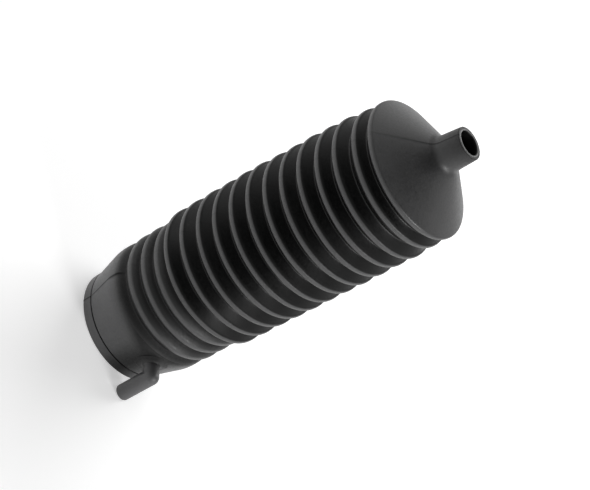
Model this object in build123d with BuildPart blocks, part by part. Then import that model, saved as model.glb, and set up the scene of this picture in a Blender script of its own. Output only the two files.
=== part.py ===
from build123d import *
from math import hypot
import os

# Rubber bellows boot for a steering rack, moulded in one piece and hollow from end to end.
# The large cuff rim lies on Z = 0, its centre is the origin, and the small neck points up +Z.
# The breather spout stands out on the +X side of the cuff. All sizes are in millimetres.

# Large cuff, which a clamp band holds on the rack housing
cuff_bore_r = 22.5
cuff_bore_length = 10.5
cuff_wall = 2.4
lip_width = 4.6
groove_width = 0.6
groove_depth = 0.4
flare_length = 15.3
shoulder_width = 4.9
shoulder_rise = 3.7
rim_chamfer = 0.5

# Folds: a short group of small ones beside the cuff, then the long main group. Every valley lies
# below the shoulder, and every crest is given by its height above the valleys.
wall = 1.5
valley_drop = 2.4
crest_width = 1.8
small_count = 3
small_pitch = 7.5
small_depth = 2.7
main_count = 12
main_pitch = 8.95
main_depth = 4.9
last_depth = 3.8

# Shallow cone that closes the folds, and the neck that grips the tie rod
cone_gap = 7.8
cone_rim_depth = 3.6
cone_height = 13.8
cone_wall = 1.8
neck_bore_r = 5.2
neck_base_r = 7.7
neck_tip_r = 7.05
neck_length = 11.2
neck_fillet = 2.0
tip_chamfer = 0.4

# Breather spout: a low pad on the flare, a stub, a tight elbow, and a tube back beside the cuff
spout_z = 18.0
spout_r = 3.6
clamp_gap = 5.9
spout_bore_r = 2.0
spout_tip_z = 0.6
spout_chamfer = 0.4
pad_r = 7.0
pad_rise = 0.5

# Radii, each from the one it stands on
cuff_r = cuff_bore_r + cuff_wall
shoulder_r = cuff_r + shoulder_rise
valley_r = shoulder_r - valley_drop
small_crest_r = valley_r + small_depth
main_crest_r = valley_r + main_depth
last_crest_r = valley_r + last_depth
cone_rim_r = valley_r + cone_rim_depth
spout_reach = cuff_r + clamp_gap + spout_r

# Levels along the axis
flare_z = lip_width + groove_width
shoulder_z = flare_z + flare_length
shoulder_end = shoulder_z + shoulder_width
main_start = shoulder_end + small_pitch * (small_count + 1)
last_crest_z = main_start + main_pitch * (main_count - 1)
cone_rim_z = last_crest_z + cone_gap
cone_start = cone_rim_z + crest_width / 2
neck_z = cone_start + cone_height
tip_z = neck_z + neck_length


def fold_crests():
    """Middle of each crest as (height, radius), from the cuff to the last fold."""
    crests = [(shoulder_end + small_pitch * (i + 1), small_crest_r) for i in range(small_count)]
    crests += [(main_start + main_pitch * i, main_crest_r) for i in range(main_count)]
    crests[-1] = (last_crest_z, last_crest_r)
    return crests


def fold_valleys(edges):
    """Each valley lies halfway between the crest edges on its two sides."""
    return [(right + left) / 2 for (_, right, _), (left, _, _) in zip(edges[:-1], edges[1:])]


def slope(run, rise, thickness):
    """Axial run of a flank for each millimetre of radius, and its thickness along the axis."""
    lean = run / rise
    return lean, thickness * hypot(1, lean)


def outer_line(edges, valleys):
    """Outside of the boot from the rim to the neck tip, as (radius, height)."""
    points = [(cuff_r - rim_chamfer, 0), (cuff_r, rim_chamfer)]
    points += [(cuff_r, lip_width), (cuff_r - groove_depth, lip_width + groove_width / 2)]
    points += [(cuff_r, flare_z), (shoulder_r, shoulder_z), (shoulder_r, shoulder_end)]
    for valley, (left, right, radius) in zip(valleys, edges[1:]):
        points += [(valley_r, valley), (radius, left), (radius, right)]
    points += [(neck_base_r, neck_z), (neck_tip_r, tip_z - tip_chamfer), (neck_tip_r - tip_chamfer, tip_z)]
    return points


def inner_line(edges, valleys):
    """Inside of the boot from the rim to the neck tip: the outside moved in by the wall."""
    root_r = valley_r - wall
    ceiling_r = shoulder_r - cuff_wall
    points = [(cuff_bore_r, 0), (cuff_bore_r, cuff_bore_length), (ceiling_r, shoulder_z)]
    lean, across = slope(valleys[0] - shoulder_end, shoulder_r - valley_r, wall)
    points += [(ceiling_r, shoulder_end + lean * cuff_wall - across)]
    for i, (left, right, radius) in enumerate(edges[1:]):
        points += [(root_r, valleys[i] + lean * wall - across)]
        lean, across = slope(left - valleys[i], radius - valley_r, wall)
        points += [(root_r, valleys[i] - lean * wall + across)]
        if i + 1 < len(valleys):
            next_lean, next_across = slope(valleys[i + 1] - right, radius - valley_r, wall)
        else:
            next_lean, next_across = slope(cone_height, cone_rim_r - neck_base_r, cone_wall)
        depth = (across + next_across - (right - left)) / (lean + next_lean)
        lean, across = next_lean, next_across
        points += [(radius - depth, right + lean * depth - across)]
    points += [(neck_bore_r, neck_z + lean * (neck_base_r - neck_bore_r) - across)]
    points += [(neck_bore_r, tip_z)]
    return points


# Each crest as (lower edge, upper edge, radius), with the shoulder first and the cone rim last
crest_edges = [(shoulder_z, shoulder_end, shoulder_r)]
for height, radius in fold_crests() + [(cone_rim_z, cone_rim_r)]:
    crest_edges.append((height - crest_width / 2, height + crest_width / 2, radius))
valley_heights = fold_valleys(crest_edges)

with BuildPart() as pad:
    # Low round pad under the spout, which follows the flare
    with BuildSketch(Plane.XZ):
        with BuildLine():
            Polyline(
                (cuff_bore_r, flare_z),
                (cuff_r + pad_rise, flare_z),
                (shoulder_r + pad_rise, shoulder_z),
                (shoulder_r + pad_rise, shoulder_end),
                (cuff_bore_r, shoulder_end),
                close=True,
            )
        make_face()
    revolve(axis=Axis.Z)
    with BuildSketch(Plane.YZ):
        with Locations((0, spout_z)):
            Circle(pad_r)
    extrude(amount=spout_reach, mode=Mode.INTERSECT)

with BuildPart() as boot:
    # Outside form: one outline turned round the axis
    with BuildSketch(Plane.XZ):
        with BuildLine():
            Polyline((0, 0), *outer_line(crest_edges, valley_heights), (0, tip_z), close=True)
        make_face()
    revolve(axis=Axis.Z)
    neck_foot = boot.edges().filter_by(GeomType.CIRCLE).filter_by_position(Axis.Z, neck_z - 0.01, neck_z + 0.01)
    fillet(neck_foot, radius=neck_fillet)

    # Breather spout: the stub, the tube beside the cuff, and a round corner between them
    add(pad.part)
    with BuildSketch(Plane.YZ.offset(cuff_bore_r)):
        with Locations((0, spout_z)):
            Circle(spout_r)
    extrude(amount=spout_reach - cuff_bore_r)
    with BuildSketch(Plane.XY.offset(spout_tip_z)):
        with Locations((spout_reach, 0)):
            Circle(spout_r)
    extrude(amount=spout_z - spout_tip_z)
    with Locations((spout_reach, 0, spout_z)):
        Sphere(spout_r)
    spout_mouth = boot.faces().filter_by(Axis.Z).filter_by_position(Axis.Z, spout_chamfer, spout_z)
    chamfer(spout_mouth.edges(), length=spout_chamfer)

    # Inside: one cavity from the cuff's bore to the neck's bore
    with BuildSketch(Plane.XZ):
        with BuildLine():
            Polyline((0, 0), *inner_line(crest_edges, valley_heights), (0, tip_z), close=True)
        make_face()
    revolve(axis=Axis.Z, mode=Mode.SUBTRACT)

    # Air way through the spout, from inside the flare to the spout's mouth
    bore_start = cuff_bore_r - cuff_wall
    with BuildSketch(Plane.YZ.offset(bore_start)):
        with Locations((0, spout_z)):
            Circle(spout_bore_r)
    extrude(amount=spout_reach - bore_start, mode=Mode.SUBTRACT)
    with BuildSketch(Plane.XY.offset(spout_tip_z)):
        with Locations((spout_reach, 0)):
            Circle(spout_bore_r)
    extrude(amount=spout_z - spout_tip_z, mode=Mode.SUBTRACT)
    with Locations((spout_reach, 0, spout_z)):
        Sphere(spout_bore_r, mode=Mode.SUBTRACT)

boot.part.label = "boot"
os.makedirs("parts", exist_ok=True)
export_step(boot.part, "parts/boot.step")
print("boot", boot.part.bounding_box(), boot.part.is_valid)
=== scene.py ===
# %% [markdown]
# # A rubber bellows boot in Blender
# The boot is one hollow rubber moulding that keeps dirt off a steering joint. The measured model
# comes in first as the frame. It fixes the boot's size and place, and everything made later stands
# exactly where it stands. A scene could also be modelled freely from a picture, but then nobody could
# measure it.

# %% Load the frame and note its size
from math import cos, exp, hypot, pi, radians, sin, sqrt

import bpy
from mathutils import Matrix, Vector


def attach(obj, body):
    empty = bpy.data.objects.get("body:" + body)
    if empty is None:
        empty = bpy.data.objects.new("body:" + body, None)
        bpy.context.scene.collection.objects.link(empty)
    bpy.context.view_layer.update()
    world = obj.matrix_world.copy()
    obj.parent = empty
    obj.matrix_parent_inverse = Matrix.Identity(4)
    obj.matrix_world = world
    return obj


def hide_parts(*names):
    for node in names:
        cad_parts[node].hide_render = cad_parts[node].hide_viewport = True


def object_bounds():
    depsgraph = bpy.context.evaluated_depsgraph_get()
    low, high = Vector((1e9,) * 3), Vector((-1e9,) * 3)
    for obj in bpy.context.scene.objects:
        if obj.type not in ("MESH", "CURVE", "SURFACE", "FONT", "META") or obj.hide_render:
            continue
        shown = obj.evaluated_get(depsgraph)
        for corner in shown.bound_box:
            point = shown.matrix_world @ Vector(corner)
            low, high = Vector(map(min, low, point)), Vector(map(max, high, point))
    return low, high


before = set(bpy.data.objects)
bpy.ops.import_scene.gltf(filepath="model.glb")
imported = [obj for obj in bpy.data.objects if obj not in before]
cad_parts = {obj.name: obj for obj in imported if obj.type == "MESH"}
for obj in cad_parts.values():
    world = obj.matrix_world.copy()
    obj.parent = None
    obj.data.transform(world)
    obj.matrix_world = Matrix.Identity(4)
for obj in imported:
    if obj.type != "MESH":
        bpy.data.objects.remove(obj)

size_at_start = [list(corner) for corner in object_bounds()]
print("frame from", size_at_start[0], "to", size_at_start[1])

# %% [markdown]
# ## The camera
# The boot stands on its cuff, while the picture shows it lying across the frame with its neck up and to
# the right. One could tip the boot over, but then its rest pose would be lost. So the boot stays put and
# the camera goes round it, above it, and rolls by about sixty degrees. A long lens keeps the ridges
# nearly parallel, as they are in the picture.

# %% Place the camera and aim it at the middle of the boot
lens_length = 146.44
camera_roll = 62.14
camera_place = Vector((0.59214, -0.58309, 0.61239))
camera_aim = Vector((0.00235, 0.00236, 0.09537))

camera_data = bpy.data.cameras.new("camera")
camera_data.sensor_width = 36.0
camera_data.lens = lens_length
camera = bpy.data.objects.new("camera", camera_data)
bpy.context.collection.objects.link(camera)
bpy.context.scene.camera = camera

view_direction = camera_aim - camera_place
level_turn = view_direction.to_track_quat("-Z", "Y").to_matrix().to_4x4()
roll = Matrix.Rotation(radians(camera_roll), 4, "Z")
camera.matrix_world = Matrix.Translation(camera_place) @ level_turn @ roll
print("camera is", round(view_direction.length, 3), "m from the boot")

# %% [markdown]
# ## The floor
# A product picture is taken on a pale sweep. A large flat sheet of matt off-white does the same job and
# keeps the soft shadow under the cuff, which tells the eye that the boot stands on something. The sheet
# looks brighter to the camera and in reflections than the lamps make it. More light would whiten it too,
# but it would also wash out the black rubber.

# %% Lay the floor
floor_grey, floor_lift = 0.86, 0.42
floor_size, floor_place = 6.0, (-0.6, 0.6, 0.0)

floor_paint = bpy.data.materials.new("floor_paint")
floor_paint.use_nodes = True
floor_nodes, floor_links = floor_paint.node_tree.nodes, floor_paint.node_tree.links
floor_shader = floor_nodes["Principled BSDF"]
floor_shader.inputs["Base Color"].default_value = (floor_grey, floor_grey, floor_grey, 1.0)
floor_shader.inputs["Roughness"].default_value = 0.9
floor_shader.inputs["Specular IOR Level"].default_value = 0.1
floor_shader.inputs["Emission Color"].default_value = (1.0, 1.0, 1.0, 1.0)

ray = floor_nodes.new("ShaderNodeLightPath")
lifted = ray.outputs["Is Camera Ray"]
for kind in ("Is Glossy Ray", "Is Transmission Ray"):
    either = floor_nodes.new("ShaderNodeMath")
    either.operation = "MAXIMUM"
    floor_links.new(lifted, either.inputs[0])
    floor_links.new(ray.outputs[kind], either.inputs[1])
    lifted = either.outputs[0]
lift = floor_nodes.new("ShaderNodeMath")
lift.operation = "MULTIPLY"
lift.inputs[1].default_value = floor_lift
floor_links.new(lifted, lift.inputs[0])
floor_links.new(lift.outputs[0], floor_shader.inputs["Emission Strength"])

bpy.ops.mesh.primitive_plane_add(size=floor_size, location=floor_place)
floor = bpy.context.object
floor.name = "floor"
floor.data.materials.append(floor_paint)
print("floor laid at height", floor.location.z)

# %% [markdown]
# ## The lamps
# Black rubber shows its shape only by what it reflects. In the picture the top and the bottom of the cone
# are lit and its middle is darker, so most of the light comes from behind and little from above. One wide
# soft panel hangs behind the boot, a weak one fills the left, and a small one puts the glint on the
# spout's corner. Hard lamps would put sharp glints on every ridge.

# %% Hang three soft panels
boot_middle = Vector((0.0, 0.0, 0.09))


def hang_panel(name, compass, climb, distance, width, height, watts):
    """Hangs a soft rectangular lamp, placed by two angles in degrees, that shines at the boot's middle."""
    lamp = bpy.data.lights.new(name, "AREA")
    lamp.shape = "RECTANGLE"
    lamp.size = width
    lamp.size_y = height
    lamp.energy = watts
    panel = bpy.data.objects.new(name, lamp)
    level = cos(radians(climb))
    way = Vector((level * cos(radians(compass)), level * sin(radians(compass)), sin(radians(climb))))
    panel.location = boot_middle + way * distance
    panel.rotation_euler = (-way).to_track_quat("-Z", "Y").to_euler()
    bpy.context.collection.objects.link(panel)


hang_panel("left_panel", compass=-130.0, climb=18.0, distance=0.9, width=0.8, height=0.5, watts=0.6)
hang_panel("right_panel", compass=28.0, climb=27.0, distance=1.1, width=0.4, height=0.4, watts=4.0)
hang_panel("back_panel", compass=137.0, climb=40.0, distance=1.7, width=1.6, height=1.6, watts=27.0)

# %% [markdown]
# ## The sky
# Wherever no panel shines, the rubber reflects what is round it. One plain grey all round would be
# simpler, but it would also light the folds from straight above, which the picture doesn't show. So the
# sky is pale low down and fades until it is nearly black overhead.

# %% Set the sky
pale_sky, dark_sky = 0.45, 0.01
fade_start, fade_end = 0.45, 0.8

surroundings = bpy.data.worlds.new("surroundings")
bpy.context.scene.world = surroundings
surroundings.use_nodes = True
sky_nodes, sky_links = surroundings.node_tree.nodes, surroundings.node_tree.links
sky = sky_nodes["Background"]
sky.inputs["Color"].default_value = (1.0, 1.0, 1.0, 1.0)
way_out = sky_nodes.new("ShaderNodeTexCoord")
split = sky_nodes.new("ShaderNodeSeparateXYZ")
fade = sky_nodes.new("ShaderNodeMapRange")
fade_ends = {"From Min": fade_start, "From Max": fade_end, "To Min": pale_sky, "To Max": dark_sky}
for socket, value in fade_ends.items():
    fade.inputs[socket].default_value = value
sky_links.new(way_out.outputs["Generated"], split.inputs["Vector"])
sky_links.new(split.outputs["Z"], fade.inputs["Value"])
sky_links.new(fade.outputs["Result"], sky.inputs["Strength"])
bpy.context.scene.view_settings.view_transform = "Standard"
print("sky's strength is", pale_sky, "low down and", dark_sky, "overhead")

# %% [markdown]
# ## How the boot's section is drawn
# Everything round on the boot comes from one section, the line you would see if you cut the boot in half.
# It is written as corners. Each has its radius, its height, the distance over which it is rounded, one number
# that holds its pale bloom together with painted light and shade, and how strongly the mould's line shows
# there. A mould's corners are never sharp. Subdivision could round them too, but it would also shrink the
# ridges.

# %% Round the corners of a line
rounding_steps = 4
bloom_spread = 0.25


def soften(corners):
    """Corners (radius, height, rounding, bloom and painted shade, line) become points (radius, height, bloom
    and painted shade, line).
    """
    smooth = []
    for i, (radius, height, rounding, bloom_and_shade, line) in enumerate(corners):
        here = Vector((radius, height))
        before, after = corners[i - 1], corners[(i + 1) % len(corners)]
        start = here + (Vector(before[:2]) - here).normalized() * rounding
        end = here + (Vector(after[:2]) - here).normalized() * rounding
        for k in range(rounding_steps + 1):
            along = k / rounding_steps
            point = start * (1 - along) ** 2 + here * 2 * along * (1 - along) + end * along * along
            beside = before if along < 0.5 else after
            share = bloom_spread * abs(1 - 2 * along)
            smooth.append((point.x, point.y, bloom_and_shade * (1 - share) + beside[3] * share, line))
    return smooth


square = [(0, 0, 0.1, 1, 0), (1, 0, 0.1, 1, 0), (1, 1, 0.1, 1, 0), (0, 1, 0.1, 1, 0)]
print("the four corners of a square become", len(soften(square)), "points")

# %% [markdown]
# ## The cuff
# The cuff is the wide end that a clamp band squeezes onto the steering rack. It has a plain lip, a fine
# groove that shows where the band goes, and a wall that flares out to the first fold. All sizes below are
# in millimetres, as on a drawing, and are turned into metres when the mesh is made.

# %% Draw the cuff
cuff_r = 24.9
groove_start, groove_end, groove_depth = 4.55, 5.25, 0.55
shoulder_r, shoulder_z, shoulder_end = 28.6, 20.5, 25.4

cuff_outside = [
    (cuff_r, 0.0, 0.7, 1.0, 1),
    (cuff_r, groove_start, 0.2, 1.0, 1),
    # The groove gets zero, which paints it black as shade.
    (cuff_r - groove_depth, (groove_start + groove_end) / 2, 0.12, 0.0, 1),
    (cuff_r, groove_end, 0.2, 1.0, 1),
    # The shoulder band gets less than the flare, which paints it darker as shade.
    (shoulder_r, shoulder_z, 1.8, 0.96, 1),
    (shoulder_r, shoulder_end, 1.2, 0.79, 1),
]
print("cuff drawn with", len(cuff_outside), "corners")

# %% [markdown]
# ## The folds
# The folds let the boot stretch and shrink as the wheels are steered. Three small ones come after the
# cuff and twelve large ones follow. A soft boot never stands perfectly even, so each crest has its own
# height and radius, within half a millimetre of the drawing. Copying one fold again and again would look
# too perfect. Each crest below is written as the height where it starts and its radius.

# %% Draw the outside of the folds and the cone's rim
small_crests = [(32.0, 28.9), (39.6, 28.9), (46.8, 28.7)]
large_crests = [(54.5, 30.8), (63.5, 30.9), (72.7, 31.0), (81.7, 31.1), (90.8, 31.2), (99.6, 31.2)]
large_crests += [(108.5, 31.1), (117.3, 31.1), (126.2, 31.1), (135.05, 30.9), (143.85, 30.8), (153.05, 30.0)]
cone_rim = (160.75, 29.8)
crests = small_crests + large_crests + [cone_rim]
crest_width, crest_rounding, crest_bloom, crest_line = 1.8, 0.75, 0.88, 0.15
valley_r, valley_rounding, small_valley_bloom = 26.2, 0.7, 0.62

folds_outside, valley_heights = [], []
last_edge = shoulder_end
for i, (start, radius) in enumerate(crests):
    valley_heights.append((last_edge + start) / 2)
    last_edge = start + crest_width
    # Deep valleys get zero, which paints them nearly black as shade; the small folds' valleys get a little
    # more, which mainly dulls their shine.
    valley_bloom_and_shade = small_valley_bloom if i <= len(small_crests) else 0.0
    folds_outside.append((valley_r, valley_heights[i], valley_rounding, valley_bloom_and_shade, 0))
    folds_outside.append((radius, start, crest_rounding, crest_bloom, crest_line))
    folds_outside.append((radius, last_edge, crest_rounding, crest_bloom, crest_line))
print("folds drawn:", len(crests), "crests, the last one being the cone's rim")

# %% [markdown]
# ## The cone and the neck
# A shallow cone closes the last fold and leads to the neck, a short thick tube that grips the tie rod.
# The joint between them is a generous hollow curve, because a sharp corner there would tear. The neck
# ends where the frame ends, so its height is read from the frame and not typed in again.

# %% Draw the cone and the neck
neck_base_r, neck_tip_r, neck_bore_r = 7.75, 7.1, 5.2
neck_z = 176.35
tip_z = round(size_at_start[1][2] * 1000, 2)

neck_outside = [(neck_base_r, neck_z, 2.4, 0.88, 0.7), (neck_tip_r, tip_z, 0.55, 0.78, 0.5)]
print("neck is", round(tip_z - neck_z, 2), "mm long and ends at", tip_z, "mm")

# %% [markdown]
# ## The inside
# The boot is hollow, with a wall about one and a half millimetres thick that follows the folds. Someone
# who looks into the cuff or the neck sees it, so it is drawn as well, back down from the neck to the rim.
# It could be thickened from the outside by a modifier, but the sharp folds would then cut through
# each other.

# %% Draw the inside
wall, cuff_wall = 1.5, 2.4
neck_foot_drop, ceiling_rise = 0.5, 0.75
peak_drop, peak_rounding = 1.3, 0.6
rim_peak_drop, rim_peak_rise = 1.6, 0.65
cuff_bore_r, cuff_bore_top = 22.5, 10.5
# The inside gets a low number, which paints it nearly black as shade.
inside_shade = 0.2

inside = [(neck_bore_r, tip_z, 0.5, 0.5, 0), (neck_bore_r, neck_z - neck_foot_drop, 1.0, inside_shade, 0)]
for (start, radius), valley_z in zip(reversed(crests), reversed(valley_heights)):
    if start == cone_rim[0]:
        inside.append((radius - rim_peak_drop, start + rim_peak_rise, peak_rounding, inside_shade, 0))
    else:
        inside.append((radius - peak_drop, start + crest_width / 2, peak_rounding, inside_shade, 0))
    inside.append((valley_r - wall, valley_z, valley_rounding, inside_shade, 0))
inside.append((shoulder_r - cuff_wall, shoulder_end + ceiling_rise, peak_rounding, inside_shade, 0))
inside.append((shoulder_r - cuff_wall, shoulder_z, 1.5, inside_shade, 0))
inside.append((cuff_bore_r, cuff_bore_top, 1.5, 0.4, 0))
inside.append((cuff_bore_r, 0.0, 0.5, 0.6, 0))

section = soften(cuff_outside + folds_outside + neck_outside + inside)
print("the section has", len(section), "points")

# %% [markdown]
# ## Where the points of a ring stand
# Every point of the section becomes a ring round the axis. The two halves of the mould met along two
# lines and left a low ridge there, so each ring has extra points near those two lines. Packing all the
# rings that tightly all the way round would work too, but it would cost many times the triangles.

# %% Choose the angles of a ring's points
mould_lines = [radians(-90.0), radians(90.0)]
even_steps = 176
close_steps, kept_clear = (-2.4, -1.4, -0.8, -0.4, 0.0, 0.4, 0.8, 1.4, 2.4), 2.6

angles = [2 * pi * k / even_steps - pi for k in range(even_steps)]
for line in mould_lines:
    angles = [angle for angle in angles if abs(angle - line) > radians(kept_clear)]
    angles += [line + radians(step) for step in close_steps]
angles.sort()
print("each ring has", len(angles), "points")

# %% [markdown]
# ## The slight bow
# A tall rubber boot leans a little under its own weight. The middle is pushed less than two millimetres
# to one side, and the ends stay where the frame has them. A bend modifier could do this as well, but it
# would also tip the cuff, which has to stand flat.

# %% Bend a point of the straight boot
bow_height = 1.6
firm_height = 25.0


def bend(x, y, z):
    """Moves a point of the straight boot, in millimetres, to its place on the bowed one, in metres."""
    share = z / tip_z
    sideways = -4 * bow_height * share * (1 - share)
    lean = -4 * bow_height / tip_z * (1 - 2 * share)
    firm = min(max(z / firm_height, 0.0), 1.0)
    tilt = lean * firm * firm * (3 - 2 * firm)
    return (x / 1000, (y + sideways) / 1000, (z - tilt * y) / 1000)


print("the middle moves to", bend(0, 0, tip_z / 2))

# %% [markdown]
# ## Painted shade behind the spout, mould lines and unevenness
# Handling leaves a pale bloom on rubber. Behind the spout the wall's number is lowered, which paints shade
# there: darker colour and less shine. The mould's two lines are low ridges, painted dark as the shade along
# them, and a little broader at the shoulder. The folds are never quite round either. Each of the three is a
# short formula of a place's angle and height. They could be sculpted by hand, but a formula is changed in one
# place.

# %% Say how the wall changes from place to place
# Painted shade behind the spout: where it centres, how far round it spreads and how much it darkens.
spout_shade_angle, spout_shade_spread, spout_shade_share = radians(-9.0), radians(25.0), 0.265
line_rise, line_reach = 0.12, 0.35
broad_z, broad_spread, broad_extra = 23.5, 2.5, 0.5
waves = [(0.07, 3, 0.21), (0.05, 5, -0.13)]
wave_start, wave_end = 30, 158


def spout_shade(angle, height):
    """How much painted shade a place gets: 1 right behind the spout, and 0 far round from it or above it."""
    if height >= shoulder_end:
        return 0.0
    return exp(-(((angle - spout_shade_angle) / spout_shade_spread) ** 2))


def line_strength(angle, radius, height):
    """How strongly the mould's line, a low ridge painted dark as shade, shows: 1 on the line, fading to 0
    beside it.
    """
    off = min(abs(angle - line) for line in mould_lines) * radius
    reach = line_reach + broad_extra * exp(-(((height - broad_z) / broad_spread) ** 2))
    return exp(-((off / reach) ** 2))


def unevenness(angle, height):
    """How far the wall stands out of round, in millimetres."""
    if not wave_start < height < wave_end:
        return 0.0
    return sum(size * sin(count * angle + height * twist) for size, count, twist in waves)


print("folds are out of round by up to", round(sum(size for size, count, twist in waves), 2), "mm")

# %% [markdown]
# ## The points of the wall
# Every point of the section now goes once round the axis. It carries two numbers: one says how much pale wear
# and painted light and shade it has, and the other says how strongly the mould's line shows, which is painted
# dark as shade. The rubber's finish reads both later. A screw modifier could turn the section too, but it
# knows no such numbers.

# %% Turn the section round the axis
points, blooms_and_shades, line_shade_marks = [], [], []
for radius, height, bloom_and_shade, lined in section:
    for angle in angles:
        # The mould's line is raised a little and painted darker as shade.
        line_shade_mark = lined * line_strength(angle, radius, height)
        true_r = radius + line_rise * line_shade_mark + unevenness(angle, height)
        points.append(bend(true_r * cos(angle), true_r * sin(angle), height))
        # Behind the spout the number is lowered, which paints shade there.
        blooms_and_shades.append(bloom_and_shade * (1 - spout_shade_share * spout_shade(angle, height)))
        line_shade_marks.append(line_shade_mark)
print("the wall has", len(points), "points")

# %% [markdown]
# ## The mesh of the wall
# The rings are joined to their neighbours by four-sided faces, and the last ring joins the first, so the
# wall is closed like the real one. Near the spout's air way whole faces are left out, and the spout's pad
# hides that opening from outside. Triangles would do as well, but four-sided faces follow the rings and
# shade more evenly.

# %% Join the rings of the wall
spout_z, opening_r = 18.0, 2.6


def new_piece(name, points, faces, values):
    """A smooth mesh object with one set of numbers on its points for each name in values."""
    mesh = bpy.data.meshes.new(name)
    mesh.from_pydata(points, [], faces)
    for title, numbers in values.items():
        layer = mesh.attributes.new(title, "FLOAT", "POINT")
        layer.data.foreach_set("value", numbers)
    mesh.polygons.foreach_set("use_smooth", [True] * len(mesh.polygons))
    mesh.update()
    piece = bpy.data.objects.new(name, mesh)
    bpy.context.collection.objects.link(piece)
    return piece


around, rings = len(angles), len(section)
faces = []
for j in range(rings):
    radius, height = section[j][:2]
    this, after = j * around, (j + 1) % rings * around
    for i in range(around):
        sideways, upwards = radius * sin(angles[i]), height - spout_z
        if cos(angles[i]) > 0 and height < shoulder_end and hypot(sideways, upwards) < opening_r:
            continue
        k = (i + 1) % around
        faces.append((this + i, this + k, after + k, after + i))
body = new_piece("boot_body", points, faces, {"bloom_and_shade": blooms_and_shades, "line_shade_mark": line_shade_marks})
print("wall made with", len(faces) * 2, "triangles")

# %% [markdown]
# ## The shape of the breather spout
# Air has to leave the boot when it folds up. It goes through a small bent spout on the cuff, which sits on
# a low round pad. The spout is a ring carried along a path, so three kinds of ring are needed: one that
# lies on the flare, one that turns round the corner and one across the tube. The frame says how far out
# the tube stands. Two straight tubes pushed into each other would show a hard seam at the corner.

# %% Make the three kinds of ring
spout_r, spout_bore_r, spout_tip = 3.6, 2.0, 0.6
spout_reach = round(size_at_start[1][0] * 1000 - spout_r, 2)
flare_z = 5.2
spout_around = 64
spout_angles = [2 * pi * k / spout_around for k in range(spout_around)]


def flare_r(height):
    """Outer radius of the cuff's flare at one height."""
    share = (height - flare_z) / (shoulder_z - flare_z)
    return cuff_r + (shoulder_r - cuff_r) * min(max(share, 0.0), 1.0)


def ring_on_flare(radius, rise):
    """A ring round the spout that lies on the flare, lifted by rise."""
    ring = []
    for angle in spout_angles:
        y, height = radius * cos(angle), spout_z + radius * sin(angle)
        ring.append((sqrt((flare_r(height) + rise) ** 2 - y * y), y, height))
    return ring


def ring_at_corner(radius, turn):
    """A ring at the spout's corner: its outer half turns with the bend and its inner half stays."""
    ring = []
    for angle in spout_angles:
        y, out = radius * cos(angle), radius * sin(angle)
        if out > 0:
            ring.append((spout_reach + out * sin(turn), y, spout_z + out * cos(turn)))
        else:
            ring.append((spout_reach + out, y, spout_z + out))
    return ring


def ring_across(radius, height):
    """A level ring round the tube."""
    return [(spout_reach + radius * sin(angle), radius * cos(angle), height) for angle in spout_angles]


print("the tube's middle is", spout_reach, "mm from the axis")

# %% [markdown]
# ## The path of the breather spout
# The rings follow each other over the pad, out along the stub, round the corner and down the tube. They turn
# in at the mouth and go back through the bore to a small collar inside the cuff, so the spout is hollow too.
# Each ring also has its number for bloom and painted shade: low on the pad beside the tube and zero in the
# bore, which paints both darker as shade.

# %% Line up the spout's rings
# The pad's low numbers paint it darker as the shade beside the tube.
pad_shape = [(7.5, -0.5, 0.72), (7.15, -0.06, 0.72), (6.85, 0.08, 0.72), (6.5, 0.16, 0.72), (6.0, 0.28, 0.73)]
pad_shape += [(5.4, 0.39, 0.74), (4.8, 0.47, 0.76), (4.2, 0.62, 0.78), (3.85, 0.85, 0.78), (3.65, 1.2, 0.8)]
pad_shape += [(spout_r, 1.6, 0.92)]
corner_steps = 12
corner_turns = [radians(90.0) * k / corner_steps for k in range(corner_steps + 1)]
tip_shape = [(spout_r, 0.75), (3.55, 0.4), (3.4, 0.15), (3.1, 0.0)]
tip_shape += [(2.5, 0.0), (2.2, 0.1), (spout_bore_r, 0.4)]
collar_shape = [(spout_bore_r, -1.5, 0.2), (spout_bore_r, -2.35, 0.2)]
collar_shape += [(2.2, -2.55, 0.3), (3.1, -2.55, 0.3), (3.3, -2.2, 0.2)]
# The bore's zero paints it black as shade.
corner_bloom, tube_bloom, bore_shade = 0.98, 0.97, 0.0
tube_heights, bore_heights = (12.0, 9.0, 6.0, 3.0), (4.0, 10.0, 14.0)

spout_rings = [(ring_on_flare(radius, rise), bloom_and_shade) for radius, rise, bloom_and_shade in pad_shape]
spout_rings += [(ring_at_corner(spout_r, turn), corner_bloom) for turn in corner_turns]
spout_rings += [(ring_across(spout_r, height), tube_bloom) for height in tube_heights]
spout_rings += [(ring_across(radius, spout_tip + rise), tube_bloom) for radius, rise in tip_shape]
spout_rings += [(ring_across(spout_bore_r, height), bore_shade) for height in bore_heights]
spout_rings += [(ring_at_corner(spout_bore_r, turn), bore_shade) for turn in reversed(corner_turns)]
spout_rings += [(ring_on_flare(radius, rise), bloom_and_shade) for radius, rise, bloom_and_shade in collar_shape]
print("the spout has", len(spout_rings), "rings")

# %% [markdown]
# ## The mesh of the breather spout
# Each ring is joined to the one before it, like the wall. A short line of painted shade darkens where the
# pad's edge meets the cuff on one side, and it uses the same number as the mould's lines. A groove cut into
# the mesh would be finer than the picture can show.

# %% Join the spout's rings
# Painted shade along one side of the pad's edge: on which ring, centred where and spread how far.
crease_shade_ring, crease_shade_angle, crease_shade_spread = 2, radians(150.0), radians(34.0)

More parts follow.
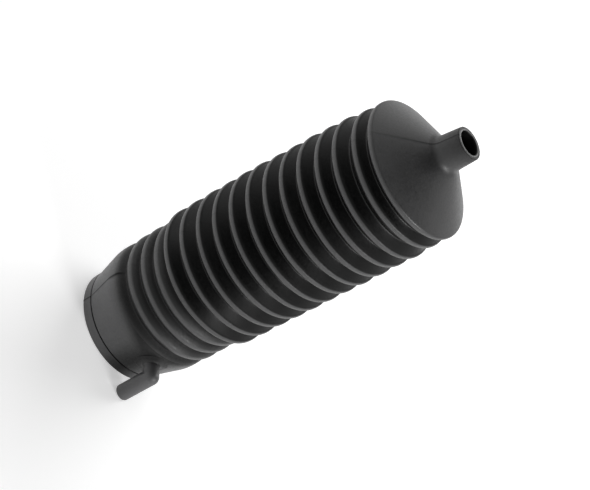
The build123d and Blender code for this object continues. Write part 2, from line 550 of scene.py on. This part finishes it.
points, blooms_and_shades, line_shade_marks, faces = [], [], [], []
for j, (ring, bloom_and_shade) in enumerate(spout_rings):
    points += [bend(*spot) for spot in ring]
    blooms_and_shades += [bloom_and_shade] * spout_around
    for angle in spout_angles:
        away = (angle - crease_shade_angle) / crease_shade_spread
        line_shade_marks.append(exp(-away * away) if j == crease_shade_ring else 0.0)
    if j:
        before, this = (j - 1) * spout_around, j * spout_around
        for i in range(spout_around):
            k = (i + 1) % spout_around
            faces.append((before + i, before + k, this + k, this + i))
spout = new_piece("breather_spout", points, faces, {"bloom_and_shade": blooms_and_shades, "line_shade_mark": line_shade_marks})
print("spout made with", len(faces) * 2, "triangles")

# %% [markdown]
# ## Tools for mixing the rubber
# A finish in Blender is a net of nodes that pass numbers and colours to each other. The net could be
# drawn with the mouse, but a script can be read and run again. Three small tools keep it short: one
# makes a node, one stretches a number to another range and one joins two numbers.

# %% Start the rubber's net and make the tools
rubber = bpy.data.materials.new("rubber")
rubber.use_nodes = True
nodes, links = rubber.node_tree.nodes, rubber.node_tree.links
shader = nodes["Principled BSDF"]


def node(kind, feeds=(), **settings):
    """A new node with its settings, the values of its sockets, and links into its sockets."""
    made = nodes.new(kind)
    for title, value in settings.items():
        if hasattr(made, title):
            setattr(made, title, value)
        else:
            made.inputs[title].default_value = value
    for title, source in feeds:
        links.new(source, made.inputs[title])
    return made


def rescale(source, low, high, bottom, top):
    """A number that runs from bottom to top while the source runs from low to high."""
    made = node("ShaderNodeMapRange", feeds=[("Value", source)])
    for title, value in (("From Min", low), ("From Max", high), ("To Min", bottom), ("To Max", top)):
        made.inputs[title].default_value = value
    return made.outputs["Result"]


def calculate(operation, first, second):
    """Two numbers joined by one operation."""
    made = node("ShaderNodeMath", operation=operation)
    for socket, source in zip(made.inputs, (first, second)):
        links.new(source, socket)
    return made.outputs[0]


bloom_and_shade_number = node("ShaderNodeAttribute", attribute_name="bloom_and_shade").outputs["Fac"]
line_shade_number = node("ShaderNodeAttribute", attribute_name="line_shade_mark").outputs["Fac"]
print("the net starts with", len(nodes), "nodes")

# %% [markdown]
# ## The rubber's colour
# Moulded rubber is nearly black, and handling leaves a paler bloom on whatever stands out, such as the
# crests. The colour goes from black to dark grey with one number that holds this bloom and painted light and
# shade together: the deep folds, the inside, the pad and the place behind the spout are painted nearly black
# as shade, and the cuff and the spout are painted paler than the crests and the cone as the light they catch.
# Soft clouds and fine specks of dust break it up, and the mould's lines are painted darker as the shade along
# them. A painted picture could do the same, but noise has no seams and needs no file.

# %% Mix the colour
# Low numbers paint shade in the folds, the hollows and behind the spout; the top number paints the cuff and
# spout paler as the light they catch.
bloom_and_shade_colours = [(0.0, 0.0008, 0.0008), (0.7, 0.0014, 0.0014), (0.82, 0.011, 0.0112)]
bloom_and_shade_colours += [(0.88, 0.030, 0.0306), (1.0, 0.08, 0.082)]
noise_range = (0.3, 0.7)

place = node("ShaderNodeTexCoord").outputs["Object"]
clouds = node("ShaderNodeTexNoise", feeds=[("Vector", place)], Scale=45.0, Detail=3.0).outputs["Fac"]
specks = node("ShaderNodeTexNoise", feeds=[("Vector", place)], Scale=420.0, Detail=2.0).outputs["Fac"]

colour_by_bloom_and_shade = node("ShaderNodeValToRGB", feeds=[("Fac", bloom_and_shade_number)])
ramp = colour_by_bloom_and_shade.color_ramp
for position, grey, blue in bloom_and_shade_colours[1:-1]:
    ramp.elements.new(position)
for stop, (position, grey, blue) in zip(ramp.elements, bloom_and_shade_colours):
    stop.color = (grey, grey, blue, 1.0)

cloud_shade = rescale(clouds, *noise_range, 0.85, 1.12)
line_shade = rescale(line_shade_number, 0.0, 1.0, 1.0, 0.15)
shade = calculate("MULTIPLY", cloud_shade, line_shade)
shaded = node("ShaderNodeVectorMath", feeds=[(0, colour_by_bloom_and_shade.outputs["Color"])], operation="SCALE")
links.new(shade, shaded.inputs["Scale"])
dust = calculate("MULTIPLY", rescale(specks, 0.70, 0.80, 0.0, 0.015), bloom_and_shade_number)
dusted = node("ShaderNodeVectorMath", feeds=[(0, shaded.outputs["Vector"]), (1, dust)], operation="ADD")
links.new(dusted.outputs["Vector"], shader.inputs["Base Color"])
print("colour mixed with", len(ramp.elements), "greys")

# %% [markdown]
# ## The rubber's shine
# The deep folds are the smoothest places and the edges of the crests are the dullest. The shine also rises
# with the bloom-and-shade number, so the folds, the hollows and the place behind the spout reflect less,
# which is painted shade. Fine grain breaks up the shine and roughens the skin a little. One value for the
# whole boot would be simpler, but it would leave a bright thin line along every crest.

# %% Mix the shine and dress the boot
grain = node("ShaderNodeTexNoise", feeds=[("Vector", place)], Scale=1100.0, Detail=3.0).outputs["Fac"]

grain_dullness = rescale(grain, *noise_range, 0.42, 0.56)
cloud_dullness = rescale(clouds, *noise_range, -0.05, 0.07)
deep_to_edge = rescale(bloom_and_shade_number, 0.58, 0.66, -0.11, 0.14)
edge_to_crest = rescale(bloom_and_shade_number, 0.7, 0.84, 0.0, -0.14)
even_dullness = calculate("ADD", grain_dullness, cloud_dullness)
fold_dullness = calculate("ADD", deep_to_edge, edge_to_crest)
links.new(calculate("ADD", even_dullness, fold_dullness), shader.inputs["Roughness"])

# Painted shade: the shine is lowered where the number is low, in the folds, the hollows and behind the spout.
bloom_and_shade_shine = rescale(bloom_and_shade_number, 0.72, 0.88, 0.42, 0.95)
line_shine = rescale(line_shade_number, 0.0, 1.0, 1.0, 0.2)
links.new(calculate("MULTIPLY", bloom_and_shade_shine, line_shine), shader.inputs["Specular IOR Level"])
skin = node("ShaderNodeBump", feeds=[("Height", grain)], Strength=0.25, Distance=0.0001)
links.new(skin.outputs["Normal"], shader.inputs["Normal"])

for piece in (body, spout):
    piece.data.materials.append(rubber)
print("rubber mixed with", len(nodes), "nodes")

# %% [markdown]
# ## Handing over to the frame
# Both meshes show the one moulded boot, so both ride on its only body and stand for its only node.

# %% Tie the pieces to the frame and finish
for piece in (body, spout):
    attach(piece, "root")
    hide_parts("boot")
